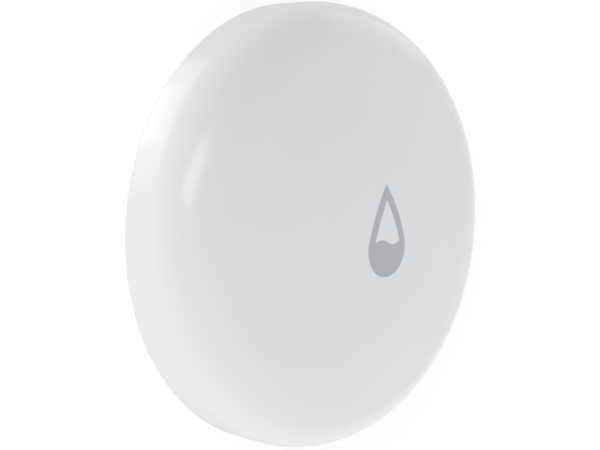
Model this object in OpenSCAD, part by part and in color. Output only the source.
// Round battery leak sensor. A one-piece domed cover closes over a base that carries two water probes,
// a coin-turned battery door and a small circuit board with a press switch under the middle of the dome.
// Millimetres. The sensor lies flat on its feet, +Z up, with the origin on the floor under its middle.

/* [Body] */
// Outer diameter at the widest height
body_d = 50; // [46:0.5:60]
// Height from the floor to the top of the dome
body_h = 15; // [14:0.1:20]
// Radius of the domed top
dome_r = 65; // [50:1:120]
// Radius of the rounding between the dome and the side wall
edge_r = 7.7; // [6:0.1:9]
// How far the side wall leans in from its widest height to its foot
wall_draft = 0.1; // [0:0.05:0.3]
// Chamfer around the foot of the side wall
skirt_chamfer = 0.4; // [0.2:0.05:0.8]
// Wall thickness of the cover
cover_t = 1.6; // [1.2:0.1:2]

/* [Press point] */
// Diameter of the thin zone that gives way under a finger
press_d = 16; // [12:0.5:20]
// Thickness of the thin zone
membrane_t = 0.6; // [0.4:0.05:0.9]
// Width of the ledge that carries the rim of the thin zone
ledge_w = 0.8; // [0.5:0.1:1.5]
// Travel of the press point
press_travel = 0.25; // [0.15:0.05:0.35]
// Thickness of the plate under the thin zone
plate_t = 0.8; // [0.6:0.1:1.2]
// Diameter of the post that reaches down to the switch
post_d = 2.4; // [1.6:0.1:4]

/* [Base] */
// Thickness of the base plate
base_t = 2; // [1.8:0.1:2.6]
// Thickness of the upright rim of the base
rim_t = 1.3; // [1:0.1:1.6]
// Height of the feet
foot_h = 0.5; // [0.3:0.05:0.9]
// Diameter of the feet
foot_d = 3; // [2:0.1:4]
// Number of feet
foot_n = 3; // [3:1:4]
// Thickness of the seal ring between base and cover
case_seal_d = 0.7; // [0.6:0.05:1]
// Height of the snap ridge in the cover and of the bead on the rim
snap_h = 0.5; // [0.4:0.05:0.7]

/* [Battery door] */
// Thickness of the door's flange
flange_t = 1; // [0.8:0.1:1.2]
// Width of the door's flange around the opening
flange_w = 1.1; // [0.9:0.1:1.4]
// Thickness of the door's face
door_t = 1.8; // [1.6:0.1:2.2]
// Wall thickness of the collar around the opening
collar_t = 1.2; // [0.9:0.1:1.5]
// Thickness of the door's seal ring
door_seal_d = 0.8; // [0.7:0.05:1]
// Radial width of the bayonet ledges
bayonet_w = 0.9; // [0.8:0.05:1.2]
// Thickness of the bayonet ledges
bayonet_t = 0.5; // [0.4:0.05:0.8]
// Thickness of the bayonet lugs
lug_t = 0.5; // [0.4:0.05:0.8]
// Number of bayonet lugs
lug_n = 3; // [2:1:3]
// Angle that one lug spans
lug_deg = 30; // [20:1:34]
// Angle that one ledge reaches past each end of its lug
ledge_lap_deg = 5; // [4:1:6]
// Turn from locked to unlocked
twist_deg = 45; // [40:1:46]
// Length of the coin slot
coin_slot_l = 13; // [10:0.5:16]
// Width of the coin slot
coin_slot_w = 1.9; // [1.6:0.1:2.4]
// Depth of the coin slot
coin_slot_depth = 1; // [0.6:0.1:1.2]

/* [Coin cell] */
// Diameter of the cell
cell_d = 20; // [18:0.1:20.5]
// Height of the cell
cell_h = 3.2; // [2.5:0.1:3.4]
// Sheet thickness of the cell's can
can_t = 0.3; // [0.2:0.05:0.4]
// Thickness of the cell's sealing ring
cell_ring_t = 0.5; // [0.4:0.05:0.7]
// Height that the cell's cap stands above its can
cap_rise = 0.25; // [0.15:0.05:0.4]

/* [Circuit board] */
// Thickness of the board
board_t = 1; // [0.8:0.1:1.2]
// Width of the board around its screws
board_margin = 2.2; // [1.8:0.1:2.5]
// Height of the spring contact between cell and board
contact_gap = 0.45; // [0.4:0.05:0.7]
// Sheet thickness of the battery contacts
contact_t = 0.2; // [0.15:0.05:0.3]
// Width of the battery contacts
contact_w = 4; // [3:0.5:5]
// Side of the press switch
switch_w = 5; // [4.5:0.1:6]
// Height that the switch's spring dome keeps when it is pressed
snap_room = 0.3; // [0.2:0.05:0.5]
// Diameter of the press switch's plunger
plunger_d = 2; // [1.6:0.1:2.6]
// Height of the plunger above the switch
plunger_rise = 0.5; // [0.4:0.05:0.8]
// Length of the radio's shield can
shield_l = 8; // [6:0.5:9]
// Width of the radio's shield can
shield_w = 7; // [6:0.5:8]
// Height of the radio's shield can
shield_h = 1.4; // [1.2:0.1:1.6]
// Length of the antenna strip
antenna_l = 11; // [8:0.5:12]
// Height of the antenna strip above the board
antenna_h = 1.2; // [0.8:0.1:1.5]
// Number of chip capacitors
capacitor_n = 6; // [4:1:7]

/* [Probes and screws] */
// Diameter of a probe's head
probe_head_d = 4.4; // [3.6:0.1:5]
// Height of a probe's head
probe_head_h = 1; // [0.8:0.1:1.2]
// How far a probe's head stands below the base
probe_proud = 0.3; // [0.1:0.05:0.3]
// Diameter of a probe's shank
probe_shank_d = 1.6; // [1.4:0.1:2]
// Thickness of a probe's seal ring
probe_seal_d = 0.5; // [0.4:0.05:0.6]
// Width across the flats of a probe's standoff
standoff_w = 3.4; // [3.2:0.1:4]
// Shank diameter of the board screws
screw_d = 1.2; // [1:0.1:1.4]
// Head diameter of the board screws
screw_head_d = 2.4; // [2:0.1:2.6]
// Head height of the board screws
screw_head_h = 0.6; // [0.4:0.1:0.7]
// Length of the board screws below the board
screw_grip = 2.4; // [1.8:0.1:3]
// Diameter of the base's screw bosses
boss_d = 3.6; // [3.2:0.1:4]

/* [Fits] */
// Gap between pieces that are bonded, pressed or screwed together
seat_gap = 0.03; // [0.02:0.01:0.05]
// Gap between pieces that slide or turn on each other
run_gap = 0.1; // [0.06:0.01:0.12]
// Gap around pieces that only have to clear each other
free_gap = 0.2; // [0.15:0.05:0.3]

/* [Hidden] */
$fn = 96;

// Colours as the photo shows them, or as such pieces are made
white_gloss = "#e9ebee";
white_matt = "#e2e3e4";
silicone_grey = "#b9bcc0";
seal_black = "#2b2b2d";
steel = "#b8bbbf";
gold = "#d2ae62";
brass = "#b6924a";
board_green = "#2f6b45";
plastic_black = "#1f2022";
lens_blue = "#cfe0f5";
chip_tan = "#a98d6b";

// Outline of the body
body_r = body_d / 2;
edge_x = body_r - edge_r;
blend_lap = 0.002;
dome_reach = dome_r - edge_r + blend_lap;
dome_drop = sqrt(dome_reach * dome_reach - edge_x * edge_x);
dome_z = body_h - dome_r;
widest_z = dome_z + dome_drop;
blend_deg = asin(edge_x / dome_reach);
skirt_r = body_r - wall_draft;

// Heights from the floor up
base_z = foot_h;
plate_z = base_z + base_t;
shelf_z = base_z + flange_t + seat_gap;
groove_lip = 0.25;
plug_top_z = shelf_z + door_seal_d + 2 * seat_gap + 2 * groove_lip;
ledge_z = plug_top_z + seat_gap;
lug_z = ledge_z + bayonet_t + seat_gap;
lug_top_z = lug_z + lug_t;
door_top_z = lug_top_z + run_gap;
collar_top_z = door_top_z + free_gap;
cell_z = door_top_z + run_gap;
cell_top_z = cell_z + cell_h;
board_z = cell_top_z + contact_gap;
board_top_z = board_z + board_t;

// Radii of the door, its opening and what stands around it, from the cell outwards
cell_r = cell_d / 2;
neck_wall = 1.2;
neck_r = cell_r + neck_wall - run_gap - free_gap;
bore_r = neck_r + run_gap + bayonet_w;
plug_r = bore_r - run_gap;
lug_r = bore_r - free_gap;
flange_r = bore_r + flange_w;
door_recess_r = flange_r + run_gap;
collar_r = bore_r + collar_t;
web_t = 0.6;
probe_recess_r = probe_head_d / 2 + run_gap;
probe_circle_r = door_recess_r + web_t + probe_recess_r;
board_r = probe_circle_r + board_margin;

// Base and cover joint
cover_in_r = skirt_r - cover_t;
base_r = cover_in_r - seat_gap;
rim_r = cover_in_r - case_seal_d - 2 * seat_gap;
ridge_z = plate_z + case_seal_d + 3 * seat_gap;
bead_z = ridge_z + snap_h + seat_gap;
rim_top_z = bead_z + snap_h + free_gap;
ridge_depth = snap_h - run_gap;
bead_depth = snap_h;
foot_circle_r = base_r - foot_d / 2 - web_t;

// Bayonet
lug_step = 360 / lug_n;
lug_half = lug_deg / 2;
ledge_half = lug_half + ledge_lap_deg;
stop_gap_deg = 0.6;
stop_deg = 3;
rib_t = 1;
hub_r = 2.5;

// Cell
can_top = cell_h - cap_rise;
ring_r = cell_r - can_t - seat_gap;
cap_r = ring_r - cell_ring_t - seat_gap;
crimp_t = can_t + seat_gap;

// Battery holder and contacts
holder_in_r = cell_r + free_gap;
holder_r = bore_r;
holder_z = collar_top_z + free_gap;
peg_r = 0.5;
peg_circle_r = (holder_in_r + holder_r) / 2;
peg_deg = 45;
clip_deg = 315;
clip_r = cell_r + seat_gap;
clip_drop = 0.4;
leaf_pad_x = 6.5;
leaf_tip_x = 1.2;
leaf_foot = 2.5;

// Press switch
frame_t = 0.2;
switch_floor = 0.3;
plunger_r = plunger_d / 2;
plunger_flange_w = 0.4;
plunger_flange_t = 0.3;
plunger_flange_r = plunger_r + plunger_flange_w;
switch_well_r = plunger_flange_r + run_gap;
snap_dome_t = 0.08;
snap_dome_z = board_top_z + switch_floor + seat_gap;
snap_dome_rise = press_travel + snap_room;
snap_dome_base_r = plunger_flange_r;
plunger_flange_z = snap_dome_z + snap_dome_rise + seat_gap;
switch_body_top_z = plunger_flange_z + plunger_flange_t + seat_gap;
switch_top_z = switch_body_top_z + frame_t;
switch_body_h = switch_body_top_z - board_top_z;
switch_h = switch_top_z - board_top_z;
plunger_top_z = switch_top_z + plunger_rise;
snap_dome_r = (snap_dome_base_r * snap_dome_base_r + snap_dome_rise * snap_dome_rise) / (2 * snap_dome_rise);
tab_w = 1.6;

// Press point
press_r = press_d / 2;
ledge_r = press_r - ledge_w;
pusher_r = ledge_r - free_gap;
membrane_in_r = dome_r - membrane_t;
pusher_out_r = membrane_in_r - seat_gap;
pusher_in_r = pusher_out_r - plate_t;
post_z = plunger_top_z + seat_gap;
post_top_z = dome_z + pusher_out_r - plate_t / 2;

// Parts on the board
led_at = [0, 5.2];
led_size = [1.6, 0.8, 0.4];
led_lens = [1.0, 0.7, 0.25];
shield_at = [8, 7.5];
shield_t = 0.2;
shield_vent_r = 0.35;
chip_size = [4.5, 4.5, 0.8];
crystal_at = [7.6, 1.9];
crystal_size = [2.5, 2, 0.6];
antenna_at = 12;
antenna_deg = 135;
antenna_w = 2;
antenna_t = 0.25;
capacitor_size = [1.2, 0.6, 0.55];
capacitor_pitch = 2.1;
capacitor_y = -7;

// Probes and screws
probe_z = base_z - probe_proud;
probe_recess_z = probe_z + probe_head_h + seat_gap;
probe_hole_r = probe_shank_d / 2 + seat_gap;
probe_grip = 1.8;
probe_end_z = plate_z + probe_grip;
driver_slot_w = 0.6;
driver_slot_depth = 0.4;
probe_groove_r = probe_hole_r + probe_seal_d + 2 * seat_gap;
probe_seal_r = probe_hole_r + probe_seal_d / 2 + seat_gap;
probe_groove_z = probe_recess_z + probe_seal_d + seat_gap;
standoff_corner_r = standoff_w / 2 / cos(30);
socket_h = 1.2;
socket_wall = 0.9;
socket_r = max(standoff_corner_r + socket_wall, probe_circle_r - collar_r + socket_wall / 3);
screw_r = screw_d / 2;
pilot_r = screw_r + seat_gap;
pilot_depth = screw_grip + free_gap;
screw_top_z = board_top_z + screw_head_h;
cross_l = 1.4;
cross_w = 0.35;
cross_depth = 0.35;
over = 1;

// Outer or inner outline of the body, a distance t inside its outer face, from height z_low up.
// The rounding reaches a hair past the dome, so that the two arcs cross in one clear point.
module body_outline(t, z_low, chamfer) {
    blend_end = [edge_x, widest_z] + 2 * edge_r * [sin(blend_deg), cos(blend_deg)];
    intersection() {
        translate([0, dome_z]) circle(r = dome_r - t);
        union() {
            polygon([[0, widest_z], [edge_x, widest_z], blend_end, [0, body_h + edge_r]]);
            intersection() {
                translate([edge_x, widest_z]) circle(r = edge_r - t);
                translate([edge_x, widest_z]) square(edge_r);
            }
        }
    }
    polygon([
        [0, z_low], [skirt_r - t - chamfer, z_low], [skirt_r - t, z_low + chamfer],
        [body_r - t, widest_z], [0, widest_z]
    ]);
}

// Ring sector around the Z axis
module sector(r_in, r_out, z_low, height, from_deg, to_deg) {
    rotate([0, 0, from_deg])
        rotate_extrude(angle = to_deg - from_deg)
            translate([r_in, z_low]) square([r_out - r_in, height]);
}

// Seal ring of round section whose lowest line is at z_low
module seal_ring(middle_r, section_d, z_low) {
    rotate_extrude() translate([middle_r, z_low + section_d / 2]) circle(d = section_d);
}

// Copies on a circle, the first one at start_deg
module around(r, count, start_deg) {
    for (i = [0 : count - 1]) rotate([0, 0, start_deg + i * 360 / count]) translate([r, 0, 0]) children();
}

// Upright cylinder between two heights
module column(r, z_low, z_high) {
    translate([0, 0, z_low]) cylinder(r = r, h = z_high - z_low);
}

// Block centred in X and Y that stands on the height z_low
module block(size, at, z_low) {
    translate([at[0] - size[0] / 2, at[1] - size[1] / 2, z_low]) cube(size);
}

// One white moulding that is dome, rounded edge and side wall at once, with a ledge for the thin zone
// and a snap ridge inside its skirt
module top_cover() {
    color(white_gloss)
        rotate_extrude() {
            difference() {
                body_outline(0, base_z, skirt_chamfer);
                body_outline(cover_t, base_z - over, 0);
                translate([0, widest_z]) square([ledge_r, body_h]);
                difference() {
                    translate([0, widest_z]) square([press_r, body_h]);
                    translate([0, dome_z]) circle(r = membrane_in_r - seat_gap);
                }
            }
            translate([cover_in_r - ridge_depth, ridge_z])
                square([ridge_depth + cover_t / 2, snap_h]);
        }
}

// Thin zone of the dome under the mark
module press_membrane() {
    color(white_gloss)
        rotate_extrude()
            intersection() {
                difference() {
                    translate([0, dome_z]) circle(r = dome_r);
                    translate([0, dome_z]) circle(r = membrane_in_r);
                }
                translate([0, widest_z]) square([press_r - seat_gap, body_h]);
            }
}

// Plate that backs the thin zone, with the post that pushes the switch
module press_plate() {
    color(white_matt)
        rotate_extrude() {
            intersection() {
                difference() {
                    translate([0, dome_z]) circle(r = pusher_out_r);
                    translate([0, dome_z]) circle(r = pusher_in_r);
                }
                translate([0, widest_z]) square([pusher_r, body_h]);
            }
            translate([0, post_z]) square([post_d / 2, post_top_z - post_z]);
        }
}

// Base plate with rim, door collar, bayonet ledges, bosses, probe sockets and feet
module base_shell() {
    color(white_matt)
        difference() {
            union() {
                rotate_extrude() base_section();
                for (i = [0 : lug_n - 1]) rotate([0, 0, i * lug_step]) bayonet_ledge();
                around(probe_circle_r, 2, 90)
                    column(boss_d / 2, base_z + base_t / 2, board_z);
                around(probe_circle_r, 2, 0)
                    column(socket_r, base_z + base_t / 2, plate_z + socket_h);
                around(foot_circle_r, foot_n, 90)
                    column(foot_d / 2, 0, base_z + base_t / 2);
            }
            around(probe_circle_r, 2, 90) column(pilot_r, board_z - pilot_depth, board_z + over);
            around(probe_circle_r, 2, 0) probe_hole();
            column(door_recess_r, base_z - over, shelf_z);
        }
}

// Section of everything on the base that is round
module base_section() {
    translate([bore_r, base_z]) square([base_r - bore_r, base_t]);
    translate([bore_r, shelf_z]) square([collar_t, collar_top_z - shelf_z]);
    translate([rim_r - rim_t, base_z + base_t / 2]) square([rim_t, rim_top_z - base_z - base_t / 2]);
    translate([rim_r - rim_t / 2, bead_z]) square([rim_t / 2 + bead_depth, snap_h]);
}

// One ledge that holds a lug, with a stop past each end of the lug's turn
module bayonet_ledge() {
    ledge_in_r = neck_r + run_gap;
    stop_in_r = neck_r + free_gap;
    stop_z = ledge_z + bayonet_t / 2;
    closed_deg = lug_half + stop_gap_deg;
    open_deg = -twist_deg - lug_half - stop_gap_deg - stop_deg;
    sector(ledge_in_r, bore_r + collar_t / 2, ledge_z, bayonet_t, -ledge_half, ledge_half);
    for (from_deg = [closed_deg, open_deg])
        sector(stop_in_r, bore_r + collar_t / 3, stop_z, door_top_z - stop_z, from_deg, from_deg + stop_deg);
}

// Hole for one probe: recess for its head, groove for its seal, bore for its shank, pocket for its standoff
module probe_hole() {
    column(probe_recess_r, base_z - over, probe_recess_z);
    column(probe_groove_r, base_z - over, probe_groove_z);
    column(probe_hole_r, base_z - over, board_z);
    column(standoff_corner_r + seat_gap, plate_z, board_z, $fn = 6);
}

// Seal ring between the base and the cover's skirt
module case_seal() {
    color(silicone_grey) seal_ring(rim_r + seat_gap + case_seal_d / 2, case_seal_d, plate_z + seat_gap);
}

// Door with its flange, sealed plug, bayonet lugs and coin slot
module battery_door() {
    cavity_r = cell_r - neck_wall / 2;
    color(white_matt)
        difference() {
            union() {
                rotate_extrude() door_section(cavity_r);
                column(hub_r, base_z, door_top_z);
                for (i = [0 : lug_n - 1])
                    rotate([0, 0, i * lug_step]) {
                        sector(neck_r - neck_wall / 2, lug_r, lug_z, lug_t, -lug_half, lug_half);
                        translate([0, -rib_t / 2, base_z + door_t / 2])
                            cube([cavity_r + neck_wall / 3, rib_t, lug_z - base_z - door_t / 2]);
                    }
            }
            block([coin_slot_l, coin_slot_w, coin_slot_depth + base_z], [0, 0], 0);
        }
}

// Section of everything on the door that is round
module door_section(cavity_r) {
    groove_r = bore_r - door_seal_d - 2 * seat_gap;
    groove_z = shelf_z + groove_lip;
    difference() {
        union() {
            translate([0, base_z]) square([flange_r, flange_t]);
            translate([0, base_z]) square([plug_r, plug_top_z - base_z]);
            translate([0, base_z]) square([neck_r, door_top_z - base_z]);
        }
        translate([0, base_z + door_t]) square([cavity_r, body_h]);
        translate([groove_r, groove_z]) square([body_r, door_seal_d + 2 * seat_gap]);
    }
}

// Seal ring in the groove of the door
module door_seal() {
    color(seal_black)
        seal_ring(bore_r - seat_gap - door_seal_d / 2, door_seal_d, shelf_z + groove_lip + seat_gap);
}

// Can of the coin cell, its broad positive face towards the door
module cell_can() {
    color(steel)
        translate([0, 0, cell_z])
            rotate_extrude()
                difference() {
                    square([cell_r, can_top]);
                    translate([0, can_t]) square([cell_r - can_t, can_top - can_t - crimp_t]);
                    square([cap_r + seat_gap + cell_ring_t / 2, can_top + over]);
                }
    color(steel) column(cell_r - can_t / 2, cell_z, cell_z + can_t);
}

// Sealing ring between the can and the cap of the cell
module cell_ring() {
    low = can_t + seat_gap;
    high = can_top - crimp_t - seat_gap;
    color(plastic_black)
        translate([0, 0, cell_z])
            rotate_extrude() translate([ring_r - cell_ring_t, low]) square([cell_ring_t, high - low]);
}

// Cap of the coin cell, its negative face towards the board
module cell_cap() {
    color(steel) column(cap_r, cell_z + can_t + seat_gap, cell_top_z);
}

// Ring under the board that keeps the cell in the middle
module battery_holder() {
    window = [2 * (holder_r - holder_in_r + over), contact_w + 2 * free_gap, board_z];
    color(plastic_black)
        difference() {
            union() {
                column(holder_r, holder_z, board_z);
                around(peg_circle_r, 2, peg_deg) column(peg_r, holder_z, board_top_z);
            }
            column(holder_in_r, holder_z - over, board_z + over);
            rotate([0, 0, clip_deg]) block(window, [holder_r, 0], holder_z - over);
        }
}

// Spring clip that bears on the side of the can
module positive_contact() {
    clip_z = cell_z + clip_drop;
    color(gold)
        rotate([0, 0, clip_deg])
            translate([clip_r, -contact_w / 2, 0]) {
                translate([0, 0, clip_z]) cube([contact_t, contact_w, board_z - clip_z]);
                translate([0, 0, board_z - contact_t]) cube([leaf_foot, contact_w, contact_t]);
            }
}

// Spring leaf that bears on the middle of the cap
module negative_contact() {
    high = board_z - contact_t;
    low = cell_top_z + seat_gap;
    color(gold)
        rotate([90, 0, 0])
            linear_extrude(height = contact_w, center = true)
                polygon([
                    [-leaf_pad_x, board_z], [-leaf_pad_x, high], [-leaf_pad_x + leaf_foot, high],
                    [-leaf_tip_x, low], [leaf_tip_x, low], [leaf_tip_x, low + contact_t],
                    [-leaf_tip_x, low + contact_t], [-leaf_pad_x + leaf_foot, board_z]
                ]);
}

// Round board with holes for its screws and the holder's pegs
module circuit_board() {
    color(board_green)
        difference() {
            column(board_r, board_z, board_top_z);
            around(probe_circle_r, 4, 0) column(screw_r + run_gap, board_z - over, board_top_z + over);
            around(peg_circle_r, 2, peg_deg) column(peg_r + seat_gap, board_z - over, board_top_z + over);
        }
}

// Black housing of the press switch, with the well for its spring and plunger
module switch_body() {
    color(plastic_black)
        difference() {
            block([switch_w, switch_w, switch_body_h], [0, 0], board_top_z);
            column(switch_well_r, board_top_z + switch_floor, switch_top_z);
        }
}

// Sheet metal frame that closes the switch, with two tabs down its sides
module switch_frame() {
    color(steel)
        difference() {
            union() {
                block([switch_w, switch_w, frame_t], [0, 0], switch_body_top_z);
                for (side = [-1, 1])
                    block([frame_t, tab_w, switch_h], [side * (switch_w + frame_t) / 2, 0], board_top_z);
            }
            column(plunger_r + run_gap, board_top_z, switch_top_z + over);
        }
}

// Plunger of the switch, held under the frame by its flange
module switch_plunger() {
    color(plastic_black) {
        column(plunger_flange_r, plunger_flange_z, plunger_flange_z + plunger_flange_t);
        column(plunger_r, plunger_flange_z, plunger_top_z);
    }
}

// Spring dome of the switch, which snaps through under the plunger
module switch_dome() {
    dome_low = snap_dome_z + snap_dome_rise - snap_dome_r;
    color(steel)
        rotate_extrude()
            intersection() {
                difference() {
                    translate([0, dome_low]) circle(r = snap_dome_r);
                    translate([0, dome_low]) circle(r = snap_dome_r - snap_dome_t);
                }
                translate([0, snap_dome_z]) square([snap_dome_base_r, snap_dome_rise + over]);
            }
}

// Status light that shines through the dome
module status_led() {
    color(lens_blue) {
        block(led_size, led_at, board_top_z);
        block(led_lens, led_at, board_top_z + led_size[2]);
    }
}

// Shield can over the radio chip
module radio_shield() {
    inner = [shield_l - 2 * shield_t, shield_w - 2 * shield_t, shield_h - shield_t + over];
    color(steel)
        difference() {
            block([shield_l, shield_w, shield_h], shield_at, board_top_z);
            block(inner, shield_at, board_top_z - over);
            for (x = [-1, 0, 1])
                translate([shield_at[0] + x * shield_l / 4, shield_at[1]])
                    column(shield_vent_r, board_top_z, board_top_z + shield_h + over);
        }
}

// Radio chip
module radio_chip() {
    color(plastic_black) block(chip_size, shield_at, board_top_z);
}

// Crystal of the radio
module crystal() {
    color(steel) block(crystal_size, crystal_at, board_top_z);
}

// Bent sheet antenna on two legs
module antenna() {
    color(gold)
        rotate([0, 0, antenna_deg])
            translate([antenna_at, 0, board_top_z]) {
                block([antenna_w, antenna_l, antenna_t], [0, 0], antenna_h - antenna_t);
                for (y = [antenna_t / 2 - antenna_l / 2, 0])
                    block([antenna_w, antenna_t, antenna_h], [0, y], 0);
            }
}

// Row of chip capacitors
module chip_capacitors() {
    color(chip_tan)
        for (i = [0 : capacitor_n - 1])
            block(capacitor_size, [(i - (capacitor_n - 1) / 2) * capacitor_pitch, capacitor_y], board_top_z);
}

// Two screws whose heads under the base are the water probes
module probe_screws() {
    color(steel)
        around(probe_circle_r, 2, 0)
            difference() {
                union() {
                    column(probe_head_d / 2, probe_z, probe_z + probe_head_h);
                    column(probe_shank_d / 2, probe_z, probe_end_z);
                }
                block([driver_slot_w, probe_head_d + over, driver_slot_depth + over], [0, 0], probe_z - over);
            }
}

// Seal rings between the probe heads and the base
module probe_seals() {
    color(seal_black)
        around(probe_circle_r, 2, 0) seal_ring(probe_seal_r, probe_seal_d, probe_recess_z);
}

// Hexagonal brass standoffs that lead the probes to the board and carry it
module probe_standoffs() {
    color(brass)
        around(probe_circle_r, 2, 0)
            difference() {
                column(standoff_corner_r, plate_z, board_z, $fn = 6);
                column(probe_hole_r, plate_z - over, probe_end_z + free_gap);
                column(pilot_r, board_z - pilot_depth, board_z + over);
            }
}

// Four screws that hold the board to the standoffs and bosses
module board_screws() {
    color(steel)
        around(probe_circle_r, 4, 0)
            difference() {
                union() {
                    column(screw_head_d / 2, board_top_z, screw_top_z);
                    column(screw_r, board_z - screw_grip, board_top_z + screw_head_h / 2);
                }
                for (turn = [0, 90])
                    rotate([0, 0, turn])
                        block([cross_l, cross_w, cross_depth + over], [0, 0], screw_top_z - cross_depth);
            }
}

top_cover();
press_membrane();
press_plate();
base_shell();
case_seal();
battery_door();
door_seal();
cell_can();
cell_ring();
cell_cap();
battery_holder();
positive_contact();
negative_contact();
circuit_board();
switch_body();
switch_frame();
switch_plunger();
switch_dome();
status_led();
radio_shield();
radio_chip();
crystal();
antenna();
chip_capacitors();
probe_screws();
probe_seals();
probe_standoffs();
board_screws();
